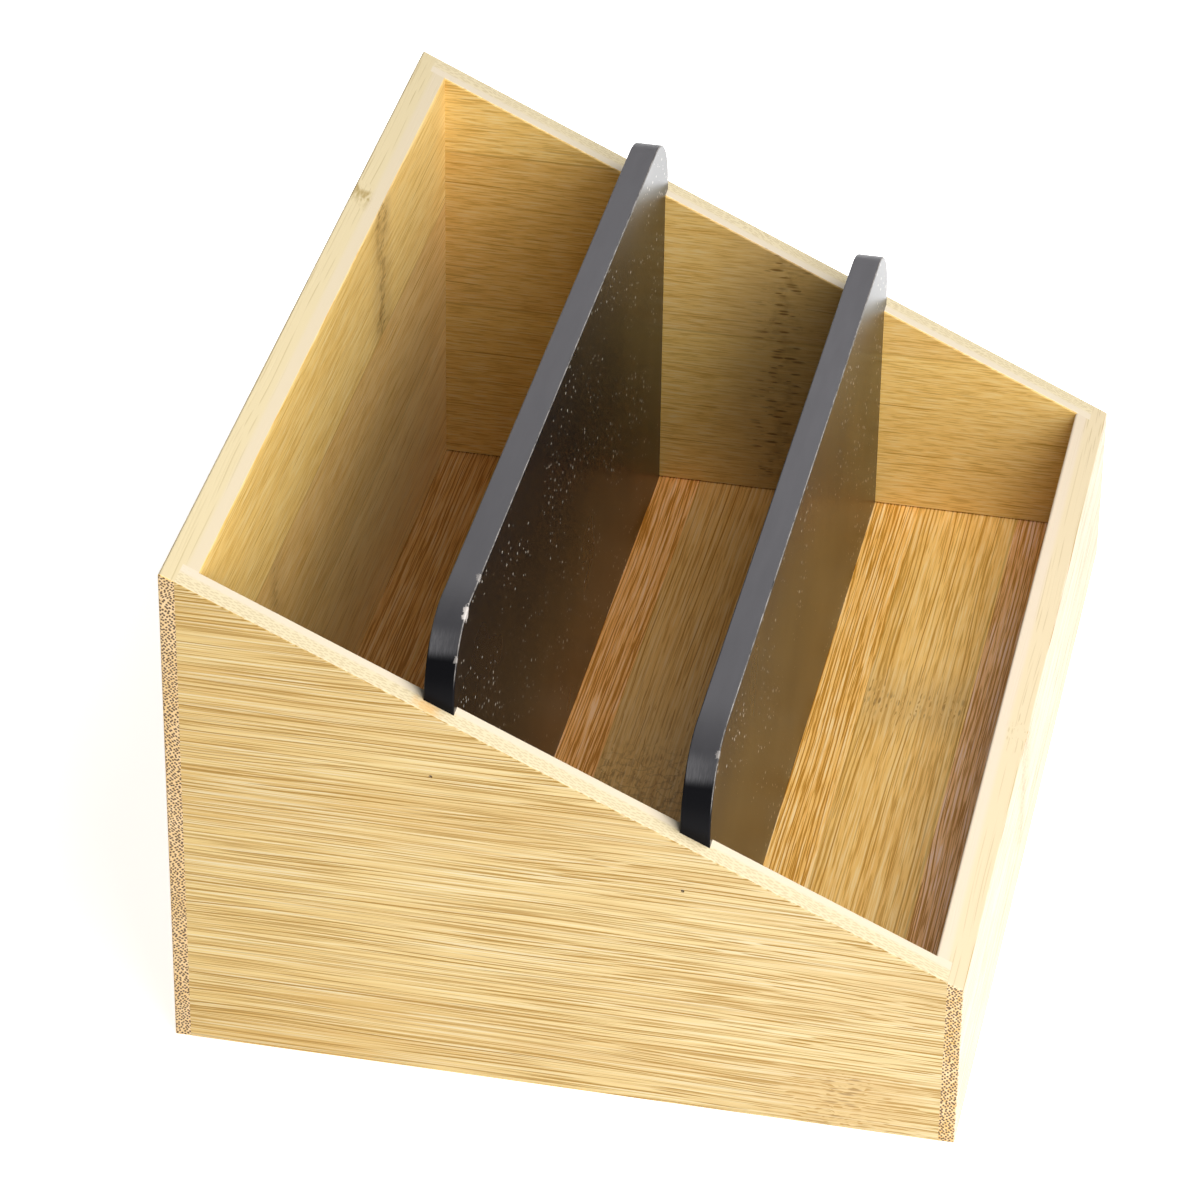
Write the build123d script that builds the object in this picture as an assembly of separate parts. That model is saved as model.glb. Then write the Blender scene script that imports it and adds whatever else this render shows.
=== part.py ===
from build123d import *
import os

# A desk organiser made as a small bamboo box. Its rim slants from a tall end board down to a
# short end board, and two painted dividers run from front to back, so it has three compartments.
# The four boards meet in glued rabbets, the floor panel sits in a groove round all four, and each
# divider stands on the floor in two housings and is held by a headless steel pin through each
# long board.
#
# Frame: X runs across the compartments, from the tall end (-) to the short end (+). Y runs along
# them, from the front (-) to the back (+). Z is up, and the origin is the middle of the footprint
# on the surface that the box stands on.

# Driving dimensions, in millimetres
width = 145.0
depth = 200.0
tall_height = 101.5
short_height = 34.5
board = 6.0
rabbet = 3.0
housing_depth = 3.0
floor_groove_depth = 3.0
floor_groove_play = 0.25
floor_play = 0.5
floor_top = 9.5
floor_thickness = 4.0
divider_thickness = 5.5
divider_corner = 14.0
eased_edge = 0.4
painted_edge = 0.35
pin_radius = 0.32
pin_length = 15.0
pin_sink = 0.5
pin_hole_play = 0.01

# Each divider: the height of its top edge, the height of its pins, and how far they were driven
# off its middle
dividers = {
    "tall_divider": {"top": 93.0, "pin_height": 65.8, "pin_off": -0.8},
    "low_divider": {"top": 73.0, "pin_height": 48.2, "pin_off": -1.4},
}

# Places worked out from them
half_width = width / 2
half_depth = depth / 2
inner_half_width = half_width - board
inner_half_depth = half_depth - board
floor_bottom = floor_top - floor_thickness
rim_slope = (short_height - tall_height) / width
rim_middle = (short_height + tall_height) / 2
divider_half_length = inner_half_depth + housing_depth
compartment = (2 * inner_half_width - len(dividers) * divider_thickness) / (len(dividers) + 1)
pin_hole_radius = pin_radius + pin_hole_play
above_rim = tall_height + board


def block(x_range, y_range, z_range):
    """A box between two limits along each axis, given in either order."""
    low = [min(limits) for limits in (x_range, y_range, z_range)]
    high = [max(limits) for limits in (x_range, y_range, z_range)]
    sizes = [top - bottom for bottom, top in zip(low, high)]
    middle = [(top + bottom) / 2 for bottom, top in zip(low, high)]
    return Pos(*middle) * Box(*sizes)


def rim_height(x):
    """The height of the slanted rim plane at x."""
    return rim_middle + rim_slope * x


def under_rim(half_x, half_y, bottom):
    """A prism centred on the box, from a flat bottom up to the rim plane."""
    corners = [
        (-half_x, bottom),
        (half_x, bottom),
        (half_x, rim_height(half_x)),
        (-half_x, rim_height(-half_x)),
    ]
    outline = Plane.XZ * Polyline(corners, close=True)
    return extrude(make_face(outline), half_y, both=True)


def divider_middle(order):
    """The x of a divider's mid-plane, with the compartments all equally wide."""
    step = compartment + divider_thickness
    return -inner_half_width + (order + 1) * step - divider_thickness / 2


def wall_envelope():
    """The space that the four boards fill together, with its outside and rim edges eased."""
    outside = fillet(under_rim(half_width, half_depth, 0).edges(), eased_edge)
    shell = outside - block(
        (-inner_half_width, inner_half_width),
        (-inner_half_depth, inner_half_depth),
        (-board, above_rim),
    )
    inner_rim = [
        edge
        for edge in shell.edges()
        if abs(edge.center().X) < inner_half_width + eased_edge
        and abs(edge.center().Y) < inner_half_depth + eased_edge
        and abs(edge.center().Z - rim_height(edge.center().X)) < eased_edge / 2
    ]
    return fillet(inner_rim, eased_edge)


def floor_groove():
    """The groove for the floor panel, as one slab that each board is cut with.

    It is a little wider than the panel, which lies on its lower side.
    """
    return block(
        (-inner_half_width - floor_groove_depth, inner_half_width + floor_groove_depth),
        (-inner_half_depth - floor_groove_depth, inner_half_depth + floor_groove_depth),
        (floor_bottom, floor_top + floor_groove_play),
    )


def end_board(side, envelope):
    """The tall (-1) or the short (+1) end board, full depth, with a rabbet at both ends."""
    inner = side * inner_half_width
    blank = block((inner, side * half_width), (-half_depth, half_depth), (0, above_rim))
    for end in (-1, 1):
        blank -= block(
            (inner, inner + side * (board - rabbet)),
            (end * inner_half_depth, end * half_depth),
            (0, above_rim),
        )
    return blank & envelope - floor_groove()


def pin_bore(x, height, side, radius, start, length):
    """A cylinder along Y that starts at a depth below the long board's face and runs inward."""
    middle = side * (half_depth - start - length / 2)
    return Pos(x, middle, height) * Rot(90, 0, 0) * Cylinder(radius, length)


def long_board(side, envelope):
    """The front (-1) or the back (+1) board, between the end boards' lips."""
    half_length = half_width - rabbet
    inner = side * inner_half_depth
    blank = block((-half_length, half_length), (inner, side * half_depth), (0, above_rim))
    for order, divider in enumerate(dividers.values()):
        x = divider_middle(order)
        blank -= block(
            (x - divider_thickness / 2, x + divider_thickness / 2),
            (inner, side * divider_half_length),
            (floor_top, above_rim),
        )
        pin_x = x + divider["pin_off"]
        blank -= pin_bore(pin_x, divider["pin_height"], side, pin_hole_radius, 0, board)
    return blank & envelope - floor_groove()


def floor_panel():
    """The bottom of the compartments, held in the boards' groove with a little play."""
    tongue = floor_groove_depth - floor_play
    return block(
        (-inner_half_width - tongue, inner_half_width + tongue),
        (-inner_half_depth - tongue, inner_half_depth + tongue),
        (floor_bottom, floor_top),
    )


def divider_panel(order, divider):
    """A divider with rounded upper corners, eased all round except where it stands."""
    top = divider["top"]
    x = divider_middle(order)
    blank = block(
        (x - divider_thickness / 2, x + divider_thickness / 2),
        (-divider_half_length, divider_half_length),
        (floor_top, top),
    )
    upper_corners = blank.edges().filter_by(Axis.X).group_by(Axis.Z)[-1]
    panel = fillet(upper_corners, divider_corner)
    outline = [
        edge
        for edge in panel.edges()
        if abs(edge.center().X - x) > divider_thickness / 2 - painted_edge
        and edge.center().Z > floor_top + painted_edge
    ]
    panel = fillet(outline, painted_edge)
    pin_x = x + divider["pin_off"]
    hole_length = pin_sink + pin_length + pin_hole_play
    for side in (-1, 1):
        panel -= pin_bore(pin_x, divider["pin_height"], side, pin_hole_radius, 0, hole_length)
    return panel


def divider_pins(side):
    """The headless pins through one long board, one into the end of each divider."""
    pins = []
    for order, divider in enumerate(dividers.values()):
        pin_x = divider_middle(order) + divider["pin_off"]
        pins.append(pin_bore(pin_x, divider["pin_height"], side, pin_radius, pin_sink, pin_length))
    return Compound(children=pins)


def build():
    """Every node's name and solid."""
    envelope = wall_envelope()
    nodes = {
        "tall_end_board": end_board(-1, envelope),
        "short_end_board": end_board(1, envelope),
        "front_board": long_board(-1, envelope),
        "back_board": long_board(1, envelope),
        "floor_panel": floor_panel(),
        "front_divider_pins": divider_pins(-1),
        "back_divider_pins": divider_pins(1),
    }
    for order, (name, divider) in enumerate(dividers.items()):
        nodes[name] = divider_panel(order, divider)
    return nodes


os.makedirs("parts", exist_ok=True)
for name, shape in build().items():
    export_step(shape, f"parts/{name}.step")
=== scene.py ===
import math
from typing import NamedTuple

import bmesh
import bpy
from mathutils import Matrix, Vector


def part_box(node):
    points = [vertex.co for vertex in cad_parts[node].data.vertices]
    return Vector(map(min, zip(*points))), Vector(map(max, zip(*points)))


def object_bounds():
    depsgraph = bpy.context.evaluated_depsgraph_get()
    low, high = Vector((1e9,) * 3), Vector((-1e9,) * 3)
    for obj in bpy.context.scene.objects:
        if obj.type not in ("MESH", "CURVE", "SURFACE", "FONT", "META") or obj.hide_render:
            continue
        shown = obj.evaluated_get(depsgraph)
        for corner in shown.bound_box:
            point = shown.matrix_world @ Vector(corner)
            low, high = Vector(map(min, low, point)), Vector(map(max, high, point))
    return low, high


# The looks of a slanted bamboo desk organiser: four bamboo boards, a laminated floor panel, two
# dividers in black satin paint and the steel pins that hold them. Every piece is a CAD node, so
# this script gives each one its material and sets up the camera, the lights and the floor.
#
# Places inside a material are in millimetres in the shared frame: X runs from the tall end board
# to the short one, Y from the front to the back, and Z is up.

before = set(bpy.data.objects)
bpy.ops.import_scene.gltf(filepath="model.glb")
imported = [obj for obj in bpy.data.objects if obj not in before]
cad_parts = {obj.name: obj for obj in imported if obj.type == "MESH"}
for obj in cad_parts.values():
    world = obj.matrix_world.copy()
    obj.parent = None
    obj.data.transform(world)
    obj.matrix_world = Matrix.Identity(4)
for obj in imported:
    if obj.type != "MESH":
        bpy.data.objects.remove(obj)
cad_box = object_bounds()

MM = 0.001
X, Y, Z = range(3)


# ---------------------------------------------------------------------------------------------
# Materials: a small kit for building node trees


def rgb(red, green, blue):
    return (red, green, blue, 1.0)


WHITE = rgb(1.0, 1.0, 1.0)


class Recipe:
    """One material's node tree. Each method adds a node or a few, and returns an output socket
    that the next one can take."""

    def __init__(self, name):
        self.material = bpy.data.materials.new(name)
        self.material.use_nodes = True
        self.tree = self.material.node_tree
        self.tree.nodes.clear()
        output = self.tree.nodes.new("ShaderNodeOutputMaterial")
        self.shader = self.tree.nodes.new("ShaderNodeBsdfPrincipled")
        self.tree.links.new(self.shader.outputs["BSDF"], output.inputs["Surface"])
        coordinates = self.tree.nodes.new("ShaderNodeTexCoord")
        self.place = self.scaled(coordinates.outputs["Object"], 1 / MM)
        self.normal = coordinates.outputs["Normal"]

    def feed(self, socket, value):
        """Links an output socket, or sets a plain number, vector or colour."""
        if isinstance(value, bpy.types.NodeSocket):
            self.tree.links.new(value, socket)
        else:
            socket.default_value = value

    def math(self, operation, *values):
        node = self.tree.nodes.new("ShaderNodeMath")
        node.operation = operation
        for socket, value in zip(node.inputs, values):
            self.feed(socket, value)
        return node.outputs[0]

    def add(self, a, b):
        return self.math("ADD", a, b)

    def minus(self, a, b):
        return self.math("SUBTRACT", a, b)

    def times(self, a, b):
        return self.math("MULTIPLY", a, b)

    def most(self, a, b):
        return self.math("MAXIMUM", a, b)

    def absolute(self, a):
        return self.math("ABSOLUTE", a)

    def length(self, a, b):
        """The length of the flat vector (a, b)."""
        return self.math("SQRT", self.add(self.times(a, a), self.times(b, b)))

    def scaled(self, vector, factors):
        """The vector times one plain number, or times one for each axis."""
        node = self.tree.nodes.new("ShaderNodeVectorMath")
        node.operation = "MULTIPLY"
        self.feed(node.inputs[0], vector)
        node.inputs[1].default_value = factors if isinstance(factors, tuple) else (factors,) * 3
        return node.outputs[0]

    def split(self, vector):
        node = self.tree.nodes.new("ShaderNodeSeparateXYZ")
        self.feed(node.inputs[0], vector)
        return list(node.outputs)

    def joined(self, x, y, z):
        node = self.tree.nodes.new("ShaderNodeCombineXYZ")
        for socket, value in zip(node.inputs, (x, y, z)):
            self.feed(socket, value)
        return node.outputs[0]

    def ranged(self, value, low, high, new_low, new_high, curve="LINEAR"):
        """value between low and high, carried over to between new_low and new_high."""
        node = self.tree.nodes.new("ShaderNodeMapRange")
        node.interpolation_type = curve
        names = ("Value", "From Min", "From Max", "To Min", "To Max")
        for name, number in zip(names, (value, low, high, new_low, new_high)):
            self.feed(node.inputs[name], number)
        return node.outputs[0]

    def smooth(self, value, start, end):
        """0 at start, 1 at end, eased in between. start may be above end."""
        return self.ranged(value, start, end, 0.0, 1.0, "SMOOTHSTEP")

    def between(self, value, low, high, soft):
        """1 from low to high, fading to 0 over soft on either side."""
        rise = self.smooth(value, low - soft, low)
        fall = self.smooth(value, high + soft, high)
        return self.times(rise, fall)

    def noise(self, vector, frequencies, detail=2.0, roughness=0.5):
        """Fractal noise about 0.5, with so many features to the millimetre: one number for all
        the axes, or one for each."""
        node = self.tree.nodes.new("ShaderNodeTexNoise")
        self.feed(node.inputs["Vector"], self.scaled(vector, frequencies))
        node.inputs["Scale"].default_value = 1.0
        node.inputs["Detail"].default_value = detail
        node.inputs["Roughness"].default_value = roughness
        return node.outputs["Fac"]

    def drift(self, vector, frequencies, detail, span):
        """Noise about 0, no further than half the span from it."""
        return self.times(self.minus(self.noise(vector, frequencies, detail), 0.5), span)

    def cells(self, vector, randomness, dimensions="3D"):
        """The distance to the nearest cell's point, and three random numbers of that cell's."""
        node = self.tree.nodes.new("ShaderNodeTexVoronoi")
        node.voronoi_dimensions = dimensions
        self.feed(node.inputs["Vector"], vector)
        node.inputs["Scale"].default_value = 1.0
        node.inputs["Randomness"].default_value = randomness
        return node.outputs["Distance"], self.split(node.outputs["Color"])

    def mixed(self, share, a, b, blend="MIX"):
        """Colour a where the share is 0, and colour b, or a blended with it, where it is 1."""
        node = self.tree.nodes.new("ShaderNodeMix")
        node.data_type = "RGBA"
        node.blend_type = blend
        # The node has a set of sockets for each type of data, under the same names
        share_socket, a_socket, b_socket = node.inputs[0], node.inputs[6], node.inputs[7]
        self.feed(share_socket, share)
        self.feed(a_socket, a)
        self.feed(b_socket, b)
        return node.outputs[2]

    def steps(self, value, low, high, stops):
        """A colour that changes sharply: each stop is (where its band starts, colour). The first
        band starts at low, whatever its stop says."""
        node = self.tree.nodes.new("ShaderNodeValToRGB")
        node.color_ramp.interpolation = "CONSTANT"
        elements = node.color_ramp.elements
        elements.remove(elements[-1])
        elements[0].color = stops[0][1]
        for start, colour in stops[1:]:
            elements.new((start - low) / (high - low)).color = colour
        self.feed(node.inputs[0], self.ranged(value, low, high, 0.0, 1.0))
        return node.outputs[0]

    def bump(self, height, distance):
        """A normal from a height of 0 to 1, where 1 stands so many millimetres proud."""
        node = self.tree.nodes.new("ShaderNodeBump")
        node.inputs["Distance"].default_value = distance * MM
        self.feed(node.inputs["Height"], height)
        return node.outputs[0]


def dress(name, material):
    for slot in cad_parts[name].material_slots:
        slot.material = material


# ---------------------------------------------------------------------------------------------
# Bamboo


# The ground runs from gold to pale, with fibre in the streaks and seams and pith in between
PALE = rgb(0.80, 0.59, 0.26)
GOLD = rgb(0.66, 0.41, 0.125)
FIBRE = rgb(0.40, 0.215, 0.025)
PITH = rgb(0.78, 0.68, 0.475)

# The halo about a knuckle, and the marks and lines in it
DUSK = rgb(0.54, 0.35, 0.13)
MARK = rgb(0.23, 0.12, 0.022)

# The cut ends
END_GROUND = rgb(0.82, 0.61, 0.36)
END_DOT = rgb(0.07, 0.025, 0.006)

# The rim, pale partly from sanding and partly as a painted highlight, and yellower over the
# outer part of its width
SANDED_PALE_HIGHLIT = rgb(0.79, 0.68, 0.52)
SANDED_HIGHLIT = rgb(0.79, 0.67, 0.42)
PEPPER = rgb(0.48, 0.35, 0.14)
STAIN = rgb(0.85, 0.46, 0.12)

BUNDLE_PITCH = 0.56
SEAM_CORE = 0.08  # a seam is dark so far to either side, and fades out at its reach
SEAM_REACH = 0.3
KNUCKLE_FADE = 0.1  # a knuckle fades out over this, up to the seams of its stave

# The staves and boards are cut from places this far apart along the culm
STAVE_SHIFT = 1370.0
BOARD_SHIFT = 217.0

# A ramp's colours stop at 1, so what a stave keeps in one is divided by the most it can be
MOST_STAVES = 16
MOST_LINES = 2.0

# Where a board's first stave starts, and places beyond every board's lower and upper edges
EDGE = -math.inf
BELOW = -1.0
ABOVE = 120.0


class Stave(NamedTuple):
    """One strip of culm in a board."""

    start: float  # where it starts across the board, and it runs to the next one
    tint: tuple
    lines: float = 1.0  # how strong its streaks are
    missing: float = 0.0  # the share of its bundles that don't show


class Knuckle(NamedTuple):
    """A node of the culm, which crosses a stave as a band of dark marks."""

    along: float  # its place along the grain
    low: float  # from here to there across the board, which are mostly its stave's seams
    high: float
    reach: float  # half its width along the grain
    strength: float = 1.0
    ridge: float = 0.0  # how dark the zigzag line along its middle is
    wrinkled: float = 0.0  # how dark the curling lines all over it are


class Stain(NamedTuple):
    """A yellow stain on the rim."""

    along: float  # its place along the grain
    through: float  # its place through the board
    radius: float


class Board(NamedTuple):
    """How a board was cut from the culm, and what shows on it. Its wander and its pallor are each
    a number, or ((place, number), (place, number)) for one that changes along the grain."""

    name: str
    grain: int  # the axis along the grain
    across: int  # the axis across its face
    outer: int  # 1 where the culm's outside faces along the third axis, -1 where it's the inside
    seed: int
    staves: list
    knuckles: list
    wander: object = 1.2  # how far the bundles stray from their line
    pallor: object = 0.0  # how much of the pith's colour shows
    dash_length: float = 16.0  # of the fine dashes between the streaks
    contrast: float = 1.0  # how far the ground between them varies
    rim: str = None  # "dotted" where it cuts across the bundles, "streaked" where it's along them
    rim_tint: tuple = WHITE
    stain: Stain = None


class Bamboo(Recipe):
    """Solid bamboo, cut by whatever faces the board has.

    The vascular bundles run along the grain and wander a little, so a face along them shows long
    tapered streaks, a slanting face shows dashes, and an end shows dots. They are packed tighter
    towards the outside of the culm. A place is s along the grain, t across the board's face and
    u through the board.
    """

    def __init__(self, board):
        super().__init__(board.name)
        self.board = board
        through = ({X, Y, Z} - {board.grain, board.across}).pop()
        place = self.split(self.place)
        facing = self.split(self.normal)
        low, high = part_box(board.name)
        self.s, self.t, self.u = place[board.grain], place[board.across], place[through]
        self.t_low, self.t_high = low[board.across] / MM, high[board.across] / MM
        self.up = facing[Z]

        # 1 on a face that cuts straight across the grain
        self.end_on = self.smooth(self.absolute(facing[board.grain]), 0.6, 0.9)

        # How far below the outside of the culm
        face = (high if board.outer > 0 else low)[through] / MM
        self.depth = self.times(self.minus(face, self.u), board.outer)

    def along_grain(self, figure):
        """A board's wander or pallor, as a number or a socket."""
        if isinstance(figure, float):
            return figure
        (start, first), (end, last) = figure
        return self.ranged(self.s, start, end, first, last)

    def lay_staves(self):
        """Sets what changes from stave to stave, and the seams between them."""
        staves = self.board.staves
        tints = [(stave.start, stave.tint) for stave in staves]
        traits = [
            (stave.start, rgb(order / MOST_STAVES, stave.lines / MOST_LINES, stave.missing))
            for order, stave in enumerate(staves)
        ]
        self.tint = self.steps(self.t, self.t_low, self.t_high, tints)
        order, lines, self.missing = self.split(
            self.steps(self.t, self.t_low, self.t_high, traits)
        )
        self.lines = self.times(lines, MOST_LINES)
        self.seam = 0.0
        for stave in staves[1:]:
            off = self.absolute(self.minus(self.t, stave.start))
            self.seam = self.most(self.seam, self.smooth(off, SEAM_REACH, SEAM_CORE))
        shift = self.add(self.times(order, STAVE_SHIFT), self.board.seed * BOARD_SHIFT)
        self.local = self.joined(self.add(self.s, shift), self.t, self.u)

    def set_knuckles(self):
        """Sets where the knuckles are, with the halo about each and the dark lines in it."""
        self.knuckle, self.halo, self.ridge = 0.0, 0.0, 0.0
        sway = self.drift(self.place, 0.16, 3.0, 9.0)
        zigzag = self.drift(self.place, 0.25, 3.0, 12.0)
        flames = self.smooth(self.noise(self.local, (0.3, 1.3, 1.3), 3.0), 0.36, 0.58)
        wrinkles = self.smooth(self.absolute(self.drift(self.place, 0.3, 3.0, 1.0)), 0.05, 0.0)
        for knuckle in self.board.knuckles:
            off = self.add(self.minus(self.s, knuckle.along), sway)
            low, high = knuckle.low + KNUCKLE_FADE, knuckle.high - KNUCKLE_FADE
            inside = self.between(self.t, low, high, KNUCKLE_FADE)
            inside = self.times(inside, knuckle.strength)
            near = self.smooth(self.absolute(off), knuckle.reach, 0.2 * knuckle.reach)
            near = self.times(near, inside)
            wide = self.smooth(self.absolute(off), 2.6 * knuckle.reach, 0.3 * knuckle.reach)
            wide = self.times(wide, inside)

            # The line is thin and faint, inside a smear that breaks up into flames
            from_line = self.absolute(self.add(off, zigzag))
            smear = self.times(self.times(self.smooth(from_line, 4.5, 0.6), flames), 0.7)
            line = self.add(smear, self.times(self.smooth(from_line, 1.0, 0.2), 0.25))
            line = self.times(line, self.times(inside, knuckle.ridge))
            wrinkled = self.times(wrinkles, self.times(near, knuckle.wrinkled))
            self.knuckle = self.most(self.knuckle, near)
            self.halo = self.most(self.halo, wide)
            self.ridge = self.most(self.ridge, self.most(line, wrinkled))

    def grow_bundles(self):
        """The bundles are cells in the cross-section. They kink at a knuckle, and they thin out
        away from the outside of the culm."""
        bend = self.times(self.most(self.knuckle, self.times(self.halo, 0.3)), 6.0)
        kink = self.drift(self.local, (0.14, 0.3, 0.3), 2.0, bend)
        t_drift = self.drift(self.local, (0.011, 0.05, 0.05), 1.0, 5.0)
        wander = self.along_grain(self.board.wander)
        u_drift = self.drift(self.local, (0.018, 0.22, 0.1), 1.0, wander)
        t_own = self.add(self.t, self.add(t_drift, kink))
        u_own = self.add(self.u, self.add(u_drift, kink))

        # The lattice is turned by 45 degrees, so that its rows don't line up with the faces
        turned = math.sqrt(0.5) / BUNDLE_PITCH
        lattice = self.joined(
            self.times(self.add(t_own, u_own), turned),
            self.times(self.minus(t_own, u_own), turned),
            0.0,
        )
        distance, (chance, self.vigour, _) = self.cells(lattice, 0.5, "2D")
        rare = self.times(self.smooth(self.depth, 2.6, 5.4), 0.85)
        rare = self.most(rare, self.missing)
        kept = self.smooth(self.add(chance, rare), 1.12, 0.98)
        self.core = self.times(self.smooth(distance, 0.34, 0.14), kept)
        self.dot = self.times(self.smooth(distance, 0.42, 0.29), kept)

    def lay_colour(self):
        """The ground, with pale and dark dashes over it and the streaks over those."""
        half = 0.5 * self.board.contrast
        broad = self.noise(self.local, (0.006, 0.09, 0.09), 2.0, 0.6)
        self.fibre = self.noise(self.local, (0.02, 1.3, 1.3), 3.0, 0.7)
        thread = self.noise(self.local, (1.0 / self.board.dash_length, 3.2, 3.2), 2.0, 0.6)
        wide_tone = self.times(self.smooth(broad, 0.36, 0.64), 0.4)
        tone = self.add(wide_tone, self.times(self.smooth(self.fibre, 0.4, 0.6), 0.6))
        self.tone = self.ranged(tone, 0.0, 1.0, 0.5 - half, 0.5 + half)
        colour = self.mixed(self.tone, GOLD, PALE)
        colour = self.mixed(self.along_grain(self.board.pallor), colour, PITH)
        pale_dash = self.times(self.smooth(thread, 0.48, 0.36), 0.45)
        colour = self.mixed(self.times(pale_dash, self.lines), colour, PITH)
        dash = self.times(self.smooth(thread, 0.52, 0.62), 0.5)
        colour = self.mixed(self.times(dash, self.lines), colour, FIBRE)
        strength = self.times(self.ranged(self.vigour, 0.0, 1.0, 0.25, 1.0), self.lines)
        streak = self.math("MINIMUM", self.times(self.core, strength), 1.0)
        colour = self.mixed(streak, colour, FIBRE)
        self.colour = self.mixed(1.0, colour, self.tint, "MULTIPLY")

    def mark_knuckles(self):
        """Knuckles are darker, with short broken marks and their dark lines."""
        distance, (chance, bulk, _) = self.cells(self.scaled(self.local, (0.28, 1.4, 1.4)), 1.0)
        kept = self.smooth(chance, 0.15, 0.4)
        size = self.ranged(bulk, 0.0, 1.0, 0.2, 0.6)
        self.speck = self.times(self.smooth(distance, size, self.times(size, 0.4)), kept)
        self.speck = self.times(self.speck, self.knuckle)
        colour = self.mixed(self.times(self.halo, 0.45), self.colour, DUSK)
        colour = self.mixed(self.times(self.speck, 0.75), colour, MARK)
        colour = self.mixed(self.times(self.ridge, 0.6), colour, MARK)
        self.colour = self.mixed(self.times(self.seam, 0.45), colour, FIBRE)

    def cut_ends(self):
        """Cut ends are dotted."""
        ground = self.mixed(self.tone, GOLD, END_GROUND)
        dotted = self.mixed(self.times(self.dot, 0.95), ground, END_DOT)
        self.colour = self.mixed(self.end_on, self.colour, dotted)

    def sand_and_highlight_rim(self):
        """The rim is pale, partly from sanding and partly as a painted highlight for the light it
        catches from above. Over the outer part of its width it is peppered where it cuts across
        the bundles, and thinly streaked where it runs along them."""
        outer = self.smooth(self.depth, 4.2, 3.2)
        if self.board.rim == "dotted":
            figure = self.times(self.dot, 0.36)
        else:
            thin = self.times(self.math("POWER", self.core, 3.0), self.vigour)
            figure = self.add(self.times(thin, 0.5), self.most(self.speck, self.ridge))
        # Partly painted highlight: the rim's ground is paler and greyer than the faces' ground.
        ground = self.mixed(self.times(outer, 0.8), SANDED_PALE_HIGHLIT, SANDED_HIGHLIT)
        ground = self.mixed(self.times(self.tone, 0.15), ground, SANDED_HIGHLIT)
        sanded_highlit = self.mixed(self.times(figure, outer), ground, PEPPER)
        self.sanded_highlit = self.mixed(1.0, sanded_highlit, self.board.rim_tint, "MULTIPLY")

    def stain_rim(self):
        stain = self.board.stain
        off = self.length(self.minus(self.s, stain.along), self.minus(self.u, stain.through))
        off = self.add(off, self.drift(self.place, 0.9, 3.0, stain.radius))
        share = self.times(self.smooth(off, stain.radius, 0.2 * stain.radius), 0.6)
        self.sanded_highlit = self.mixed(share, self.sanded_highlit, STAIN)

    def cap_rim(self):
        """Puts the rim's colour, painted highlight and all, on whatever faces up."""
        self.colour = self.mixed(self.smooth(self.up, 0.7, 0.88), self.colour, self.sanded_highlit)

    def finish(self):
        """The streaks are a little rougher than the ground, and sunken."""
        self.feed(self.shader.inputs["Base Color"], self.colour)
        sheen = self.noise(self.local, (0.01, 0.5, 0.5), 2.0)
        roughness = self.add(self.ranged(sheen, 0.3, 0.7, 0.36, 0.48), self.times(self.core, 0.08))
        self.feed(self.shader.inputs["Roughness"], roughness)
        height = self.add(self.times(self.core, -0.6), self.times(self.fibre, 0.4))
        self.feed(self.shader.inputs["Normal"], self.bump(height, 0.02))
        return self.material


def bamboo(board):
    wood = Bamboo(board)
    wood.lay_staves()
    wood.set_knuckles()
    wood.grow_bundles()
    wood.lay_colour()
    wood.mark_knuckles()
    wood.cut_ends()
    if board.rim:
        wood.sand_and_highlight_rim()
        if board.stain:
            wood.stain_rim()
        wood.cap_rim()
    return wood.finish()


FRONT_TINT = rgb(0.87, 0.875, 0.80)
FRONT_BOARD = Board(
    name="front_board", grain=X, across=Z, outer=-1, seed=1,
    staves=[Stave(EDGE, FRONT_TINT, lines=1.6), Stave(12.5, FRONT_TINT, lines=1.6)],
    knuckles=[Knuckle(52.0, BELOW, 12.5, reach=8.0, strength=0.85)],
    wander=((-20.0, 0.8), (40.0, 3.6)),
    pallor=((-60.0, 0.0), (70.0, 0.35)),
    dash_length=45.0,
    rim="dotted",
    stain=Stain(-24.8, -98.4, 3.4),
)
BACK_BOARD = Board(
    name="back_board", grain=X, across=Z, outer=1, seed=2,
    # The staves differ in tint as staves do, and the top one is also lighter as painted light from
    # above.
    staves=[
        Stave(EDGE, rgb(1.18, 1.12, 0.83), lines=0.9),
        Stave(46.0, rgb(1.14, 1.06, 0.81), lines=0.9),
        Stave(82.0, rgb(1.22, 1.20, 0.97), lines=0.9),
    ],
    # Its knuckle is stronger than the rest: the dark halo is partly the knuckle's own and partly
    # painted shade from the low divider beside it.
    knuckles=[Knuckle(5.0, BELOW, ABOVE, reach=8.0, strength=1.25, ridge=0.5)],
    wander=5.0,
    pallor=((15.0, 0.0), (66.0, 0.12)),
    dash_length=6.0,
    contrast=0.4,
    rim="dotted",
)
TALL_END_BOARD = Board(
    name="tall_end_board", grain=Y, across=Z, outer=-1, seed=3,
    # The staves differ in tint as staves do, and the top one is also lighter than the one below as
    # painted light from above.
    staves=[
        Stave(EDGE, rgb(1.30, 1.20, 1.05), lines=0.9),
        Stave(12.0, rgb(1.27, 1.15, 0.98), lines=0.9),
        Stave(41.0, rgb(1.15, 1.02, 0.82), lines=0.9),
        Stave(70.0, rgb(1.29, 1.23, 0.95), lines=0.9),
    ],
    knuckles=[
        Knuckle(40.0, 70.0, ABOVE, reach=4.0, ridge=1.0),
        Knuckle(-45.0, 55.9, 70.0, reach=3.0, strength=0.6, ridge=0.6),
    ],
    wander=3.0,
    pallor=((-20.0, 0.0), (90.0, 0.15)),
    dash_length=12.0,
    contrast=0.5,
    rim="streaked",
    rim_tint=rgb(0.94, 0.92, 0.85),
)
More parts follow.
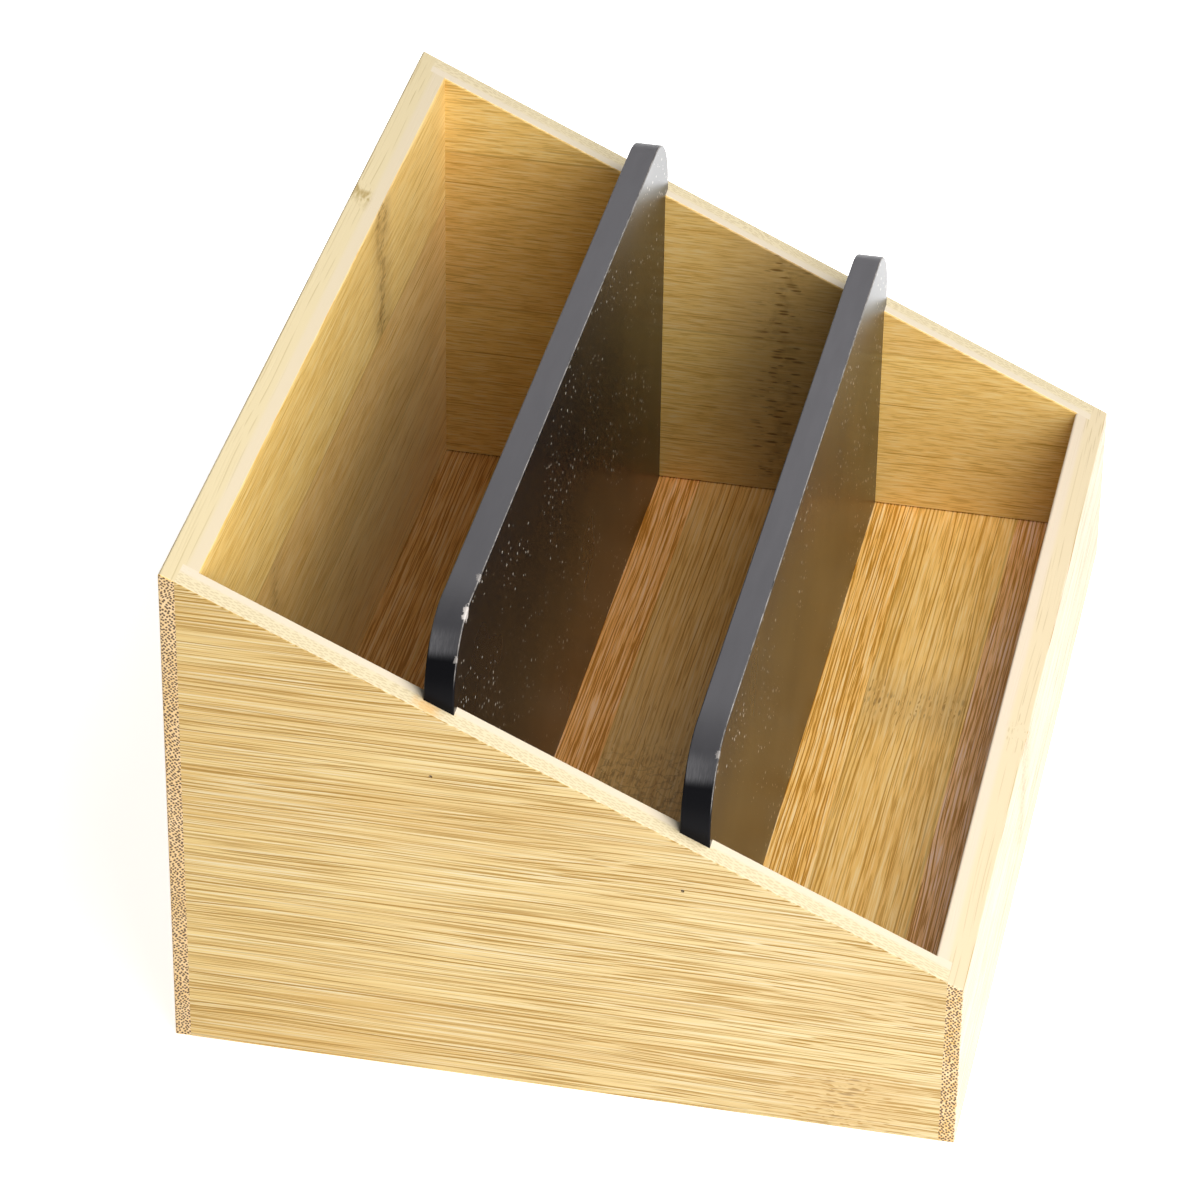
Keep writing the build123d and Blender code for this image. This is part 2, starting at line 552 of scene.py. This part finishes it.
SHORT_END_TINT = rgb(0.97, 0.92, 0.96)
SHORT_END_BOARD = Board(
    name="short_end_board", grain=Y, across=Z, outer=1, seed=4,
    staves=[Stave(EDGE, SHORT_END_TINT), Stave(9.0, SHORT_END_TINT)],
    knuckles=[Knuckle(-20.0, 9.0, ABOVE, reach=4.0)],
    pallor=0.9,
    rim="streaked",
    rim_tint=rgb(0.96, 0.93, 0.92),
)

BROWN = rgb(0.75, 0.55, 0.40)
REDDISH = rgb(1.20, 0.82, 0.60)
OLIVE = rgb(0.96, 0.73, 0.52)
RED_GOLD = rgb(1.30, 1.07, 0.72)
GOLDEN = rgb(1.20, 1.04, 0.73)
PURPLE = rgb(1.12, 0.88, 0.90)
FLOOR_PANEL = Board(
    name="floor_panel", grain=Y, across=X, outer=1, seed=5,
    staves=[
        Stave(EDGE, BROWN, lines=1.9),
        Stave(-55.0, BROWN, lines=1.9),
        Stave(-33.0, REDDISH, lines=2.0),
        Stave(-11.4, OLIVE, lines=1.2, missing=0.5),
        Stave(12.0, RED_GOLD, lines=2.0),
        Stave(35.5, GOLDEN, lines=1.3, missing=0.6),
        Stave(55.6, PURPLE, lines=2.0),
    ],
    knuckles=[
        Knuckle(-18.0, -11.4, 12.0, reach=20.0, strength=0.75, wrinkled=1.0),
        Knuckle(22.0, 35.5, 55.6, reach=6.0, strength=0.8),
    ],
    wander=0.7,
    dash_length=14.0,
    contrast=0.7,
)

for board in (FRONT_BOARD, BACK_BOARD, TALL_END_BOARD, SHORT_END_BOARD, FLOOR_PANEL):
    dress(board.name, bamboo(board))


# ---------------------------------------------------------------------------------------------
# Black paint


# The paint, and then the greys of its painted reflection on the top edge and painted highlight
# on the front rounding, and the pale of its chips, which also serves for the painted highlight
# on its right arris
PAINT_DEEP = rgb(0.004, 0.004, 0.005)
PAINT_THIN = rgb(0.008, 0.008, 0.009)
REFLECTION_GREY_DARK = rgb(0.122, 0.119, 0.127)
REFLECTION_GREY_LIGHT = rgb(0.148, 0.144, 0.154)
SCRATCHED_HIGHLIGHT = rgb(0.11, 0.108, 0.112)
BARE_AND_GLINT = rgb(0.62, 0.57, 0.53)
DUST = rgb(0.66, 0.61, 0.52)
GLOSS_TINT = rgb(0.2, 0.19, 0.19)

DUST_DENSITY = 0.55  # specks to the millimetre, before the clusters leave most of them out


class Chip(NamedTuple):
    """A place on a divider's right arris where the paint is chipped."""

    from_front: float
    below_top: float
    radius: float
    strength: float


class BlackPaint(Recipe):
    """Satin black, more matt where hands reach it, chipped and dusty, with a painted reflection on
    its top edge and painted highlights on its front rounding and right arris. A divider's faces
    look along X, and its top edge runs along Y and ends in a rounding at the front."""

    def __init__(self, name):
        super().__init__(name + "_paint")
        low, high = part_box(name)
        self.x, self.y, self.z = self.split(self.place)
        self.facing = self.split(self.normal)
        self.left, self.right = low.x / MM, high.x / MM
        self.from_front = self.minus(self.y, low.y / MM)
        self.below_top = self.minus(high.z / MM, self.z)
        self.patches = self.noise(self.place, 0.03, 2.0)
        self.colour = self.mixed(self.patches, PAINT_DEEP, PAINT_THIN)

    def paint_top_reflection(self):
        """The top edge is painted grey, lighter towards the back: a painted reflection of the
        bright surroundings above it.
        """
        self.rubbed_and_sheen = self.times(
            self.smooth(self.facing[Z], 0.6, 0.7),
            self.smooth(self.facing[X], 0.5, 0.2),
        )
        reflection_share = self.ranged(self.smooth(self.from_front, 2.0, 24.0), 0.0, 1.0, 0.27, 0.75)
        reflection_share = self.add(reflection_share, self.ranged(self.from_front, 27.0, 140.0, 0.0, 0.25))
        reflection_mottle = self.noise(self.place, (0.5, 0.08, 0.5), 3.0)
        grey = self.mixed(reflection_mottle, REFLECTION_GREY_DARK, REFLECTION_GREY_LIGHT)
        # Painted reflection: this grey stands in for the bright surroundings that the glossy top
        # edge mirrors.
        self.colour = self.mixed(self.times(self.rubbed_and_sheen, reflection_share), self.colour, grey)

    def highlight_rounding(self):
        """Part of the way down the front rounding, below the top edge's painted reflection, a
        painted highlight with fine scratch streaks.
        """
        scratches = self.noise(self.place, (4.5, 0.35, 0.5), 3.0, 0.7)
        scratches = self.ranged(scratches, 0.4, 0.65, 0.5, 1.0)
        highlight_patch = self.times(
            self.between(self.facing[Z], 0.68, 0.78, 0.12),
            self.smooth(self.facing[Y], 0.0, -0.4),
        )
        highlight_patch = self.times(highlight_patch, self.ranged(self.x, self.left, self.right, 1.0, 0.3))
        # Painted highlight: a band of the rounding, chosen by which way it faces, is lightened
        # with scratch streaks.
        self.colour = self.mixed(self.times(scratches, highlight_patch), self.colour, SCRATCHED_HIGHLIGHT)

    def highlight_arris(self):
        """A thin painted highlight runs all along the right arris, broken up by noise."""
        self.arris = self.times(
            self.between(self.facing[X], 0.5, 0.85, 0.1),
            self.smooth(self.facing[Z], 0.2, 0.35),
        )
        glint_breakup = self.noise(self.place, (0.1, 0.25, 0.25), 4.0, 0.7)
        glint_breakup = self.ranged(glint_breakup, 0.3, 0.7, 0.05, 0.55)
        # Painted highlight: the pale line along the right arris is a glint, not bare wood; the
        # chips below use the same pale.
        self.colour = self.mixed(self.times(self.arris, glint_breakup), self.colour, BARE_AND_GLINT)

    def chip_arris(self, chips):
        ragged = self.drift(self.place, 1.4, 3.0, 1.0)
        ragged_x = self.add(self.x, self.times(ragged, 1.6))
        edge = self.smooth(ragged_x, self.right - 0.8, self.right - 0.5)
        for chip in chips:
            y_off = self.minus(self.from_front, chip.from_front)
            z_off = self.minus(self.below_top, chip.below_top)
            off = self.add(self.length(y_off, z_off), self.times(ragged, 2.0 * chip.radius))
            chipped = self.times(self.smooth(off, chip.radius, 0.7 * chip.radius), edge)
            self.colour = self.mixed(self.times(chipped, chip.strength), self.colour, BARE_AND_GLINT)

    def scatter_dust(self):
        """Fine dust on the right face, in loose clusters."""
        grid = self.joined(self.times(self.y, DUST_DENSITY), self.times(self.z, DUST_DENSITY), 0.0)
        distance, (bulk, _, _) = self.cells(grid, 1.0, "2D")
        clusters = self.smooth(self.noise(self.place, 0.05, 3.0), 0.4, 0.55)
        size = self.times(self.ranged(bulk, 0.6, 1.0, 0.0, 0.24), clusters)
        dust = self.smooth(distance, size, self.times(size, 0.4))
        dust = self.times(dust, self.smooth(self.facing[X], 0.9, 0.98))
        self.colour = self.mixed(self.times(dust, 0.8), self.colour, DUST)

    def finish(self):
        """The top edge and the right arris are more matt than the rest."""
        self.feed(self.shader.inputs["Base Color"], self.colour)
        matt = self.most(self.times(self.rubbed_and_sheen, 0.14), self.times(self.arris, 0.2))
        roughness = self.add(self.ranged(self.patches, 0.3, 0.7, 0.27, 0.31), matt)
        self.feed(self.shader.inputs["Roughness"], roughness)
        self.shader.inputs["Specular IOR Level"].default_value = 0.25
        self.shader.inputs["Specular Tint"].default_value = GLOSS_TINT
        orange_peel = self.noise(self.place, 0.7, 2.0)
        self.feed(self.shader.inputs["Normal"], self.bump(orange_peel, 0.0012))
        return self.material


def black_paint(name, chips):
    paint = BlackPaint(name)
    paint.paint_top_reflection()
    paint.highlight_rounding()
    paint.highlight_arris()
    paint.chip_arris(chips)
    paint.scatter_dust()
    return paint.finish()


CHIPS = {
    "tall_divider": [
        Chip(10.4, 0.6, radius=1.8, strength=0.9),
        Chip(21.0, 0.0, radius=1.2, strength=0.35),
        Chip(2.8, 5.7, radius=0.7, strength=0.35),
    ],
    "low_divider": [Chip(7.2, 1.8, radius=0.9, strength=0.3)],
}
for divider, chips in CHIPS.items():
    dress(divider, black_paint(divider, chips))


# ---------------------------------------------------------------------------------------------
# Steel


STEEL_DARK = rgb(0.16, 0.14, 0.12)
STEEL_LIGHT = rgb(0.4, 0.38, 0.35)


def steel(name):
    r = Recipe(name)
    tarnish = r.noise(r.place, 2.0, 3.0)
    r.feed(r.shader.inputs["Base Color"], r.mixed(tarnish, STEEL_DARK, STEEL_LIGHT))
    r.shader.inputs["Metallic"].default_value = 1.0
    r.feed(r.shader.inputs["Roughness"], r.ranged(tarnish, 0.3, 0.7, 0.35, 0.6))
    return r.material


for pins in ("front_divider_pins", "back_divider_pins"):
    dress(pins, steel(pins))


# ---------------------------------------------------------------------------------------------
# Floor, lights and camera, in metres


STUDIO_DIM = rgb(0.88, 0.88, 0.88)
STUDIO_BRIGHT = rgb(0.9, 0.9, 0.9)


def studio_white():
    """Glows a little, more so behind the organiser, where the black dividers mirror it."""
    r = Recipe("studio_white")
    grain = r.noise(r.place, 0.02, 2.0)
    r.feed(r.shader.inputs["Base Color"], r.mixed(grain, STUDIO_DIM, STUDIO_BRIGHT))
    r.shader.inputs["Roughness"].default_value = 0.6
    r.shader.inputs["Emission Color"].default_value = WHITE
    behind = r.smooth(r.split(r.place)[Y], 90.0, 260.0)
    r.feed(r.shader.inputs["Emission Strength"], r.ranged(behind, 0.0, 1.0, 0.8, 2.3))
    return r.material


def studio_floor():
    """A plain white floor, far larger than the view and just clear of the organiser's base."""
    mesh = bpy.data.meshes.new("studio_floor")
    surface = bmesh.new()
    bmesh.ops.create_grid(surface, x_segments=1, y_segments=1, size=8.0)
    surface.to_mesh(mesh)
    surface.free()
    mesh.materials.append(studio_white())
    floor = bpy.data.objects.new("studio_floor", mesh)
    floor.location.z = -0.1 * MM
    bpy.context.scene.collection.objects.link(floor)


def world_light(strength):
    world = bpy.data.worlds.new("studio")
    bpy.context.scene.world = world
    world.use_nodes = True
    background = world.node_tree.nodes["Background"]
    background.inputs["Color"].default_value = WHITE
    background.inputs["Strength"].default_value = strength


def direction(azimuth, elevation):
    """The way from the organiser to something that is seen from it at these angles. The azimuth
    is 0 in front and 90 degrees on the right."""
    return Vector((
        math.cos(elevation) * math.sin(azimuth),
        -math.cos(elevation) * math.cos(azimuth),
        math.sin(elevation),
    ))


def soft_light(name, azimuth, elevation, distance, size, power):
    """A square soft box that faces the organiser, with its angles in degrees. The box itself is
    out of sight."""
    light = bpy.data.lights.new(name, "AREA")
    light.size = size
    light.energy = power
    lamp = bpy.data.objects.new(name, light)
    towards = direction(math.radians(azimuth), math.radians(elevation))
    lamp.location = towards * distance
    lamp.visible_camera = False
    lamp.rotation_euler = towards.to_track_quat("Z", "Y").to_euler()
    bpy.context.scene.collection.objects.link(lamp)


def camera():
    """Looks down at the organiser from the front, a little from the right and a little tilted."""
    azimuth, elevation, roll = math.radians(11.31), math.radians(33.55), math.radians(0.842)
    distance = 1.04
    centre = (Vector(cad_box[0]) + Vector(cad_box[1])) / 2
    aim = centre + Vector((-0.0143, 0.0019, -0.0120))
    back = direction(azimuth, elevation)
    level = Vector((math.cos(azimuth), math.sin(azimuth), 0.0))
    raised = back.cross(level)
    right = level * math.cos(roll) + raised * math.sin(roll)
    up = raised * math.cos(roll) - level * math.sin(roll)
    lens = bpy.data.cameras.new("camera")
    lens.sensor_width = 36.0
    lens.lens = 160.8
    lens.clip_start = 0.05
    lens.clip_end = 50.0
    viewer = bpy.data.objects.new("camera", lens)
    turned = Matrix((right, up, back)).transposed().to_4x4()
    viewer.matrix_world = Matrix.Translation(aim + back * distance) @ turned
    bpy.context.scene.collection.objects.link(viewer)
    bpy.context.scene.camera = viewer


studio_floor()
world_light(0.08)
soft_light("key", azimuth=43, elevation=16, distance=1.5, size=1.1, power=12.5)
soft_light("window", azimuth=180, elevation=35, distance=1.5, size=1.6, power=3.0)
soft_light("near_top", azimuth=75, elevation=65, distance=0.47, size=0.3, power=1.7)
soft_light("near_front", azimuth=24, elevation=22, distance=0.53, size=0.15, power=0.5)
camera()
bpy.context.scene.view_settings.view_transform = "Standard"
